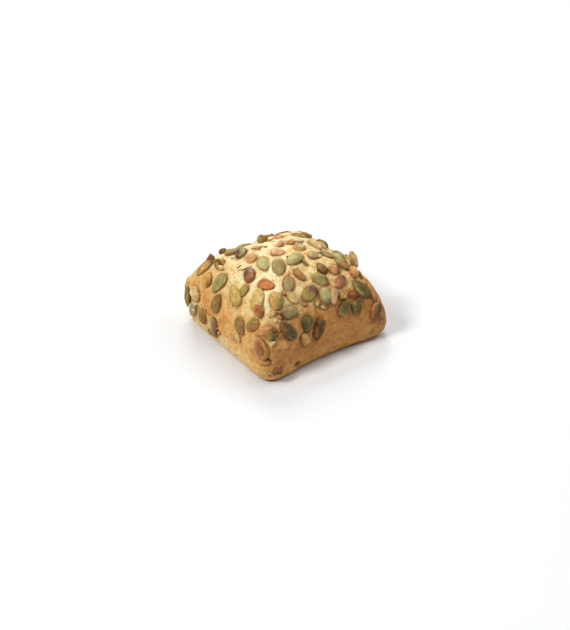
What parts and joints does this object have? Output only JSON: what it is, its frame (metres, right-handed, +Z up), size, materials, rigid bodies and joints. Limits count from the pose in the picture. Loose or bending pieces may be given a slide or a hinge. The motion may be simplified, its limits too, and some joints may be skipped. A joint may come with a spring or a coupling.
{
  "type": "bread roll",
  "caption": "Square-cornered domed bread roll with a floury golden crust and whole pumpkin seeds pressed into its top and sides.",
  "frame": {"origin": "centre of the flat underside that the roll rests on, under the middle of the whole roll's box", "axes": "+Z up out of the crown, +X and +Y along the roll's two pairs of sides"},
  "size_m": [0.0854, 0.0814, 0.0515],
  "materials": {
    "crust": "baked wheat crust, matt and floury, pale on the crown and browner towards the foot",
    "seed_green": "toasted green pumpkin seed, satin skin",
    "seed_olive": "pale olive pumpkin seed, satin skin",
    "seed_gold": "golden pumpkin seed, satin skin",
    "seed_brown": "well toasted brown pumpkin seed, satin skin",
    "seed_plum": "dark plum-brown pumpkin seed, glossy skin"
  },
  "bodies": {
    "root": {"loaf": "crust", "pumpkin_seed_01": "seed_gold", "pumpkin_seed_02": "seed_brown", "pumpkin_seed_03": "seed_green", "pumpkin_seed_04": "seed_brown", "pumpkin_seed_05": "seed_olive", "pumpkin_seed_06": "seed_green", "pumpkin_seed_07": "seed_olive", "pumpkin_seed_08": "seed_olive", "pumpkin_seed_09": "seed_brown", "pumpkin_seed_10": "seed_gold", "pumpkin_seed_11": "seed_brown", "pumpkin_seed_12": "seed_green", "pumpkin_seed_13": "seed_brown", "pumpkin_seed_14": "seed_brown", "pumpkin_seed_15": "seed_brown", "pumpkin_seed_16": "seed_green", "pumpkin_seed_17": "seed_green", "pumpkin_seed_18": "seed_olive", "pumpkin_seed_19": "seed_brown", "pumpkin_seed_20": "seed_plum", "pumpkin_seed_21": "seed_olive", "pumpkin_seed_22": "seed_gold", "pumpkin_seed_23": "seed_gold", "pumpkin_seed_24": "seed_green", "pumpkin_seed_25": "seed_plum", "pumpkin_seed_26": "seed_olive", "pumpkin_seed_27": "seed_brown", "pumpkin_seed_28": "seed_olive", "pumpkin_seed_29": "seed_green", "pumpkin_seed_30": "seed_green", "pumpkin_seed_31": "seed_green", "pumpkin_seed_32": "seed_olive", "pumpkin_seed_33": "seed_olive", "pumpkin_seed_34": "seed_gold", "pumpkin_seed_35": "seed_brown", "pumpkin_seed_36": "seed_olive", "pumpkin_seed_37": "seed_olive", "pumpkin_seed_38": "seed_green", "pumpkin_seed_39": "seed_brown", "pumpkin_seed_40": "seed_olive", "pumpkin_seed_41": "seed_brown", "pumpkin_seed_42": "seed_olive", "pumpkin_seed_43": "seed_plum", "pumpkin_seed_44": "seed_plum", "pumpkin_seed_45": "seed_plum", "pumpkin_seed_46": "seed_green", "pumpkin_seed_47": "seed_green", "pumpkin_seed_48": "seed_green", "pumpkin_seed_49": "seed_green", "pumpkin_seed_50": "seed_plum", "pumpkin_seed_51": "seed_green", "pumpkin_seed_52": "seed_olive", "pumpkin_seed_53": "seed_gold", "pumpkin_seed_54": "seed_brown", "pumpkin_seed_55": "seed_plum", "pumpkin_seed_56": "seed_green", "pumpkin_seed_57": "seed_olive", "pumpkin_seed_58": "seed_gold", "pumpkin_seed_59": "seed_brown"}
  },
  "joints": []
}
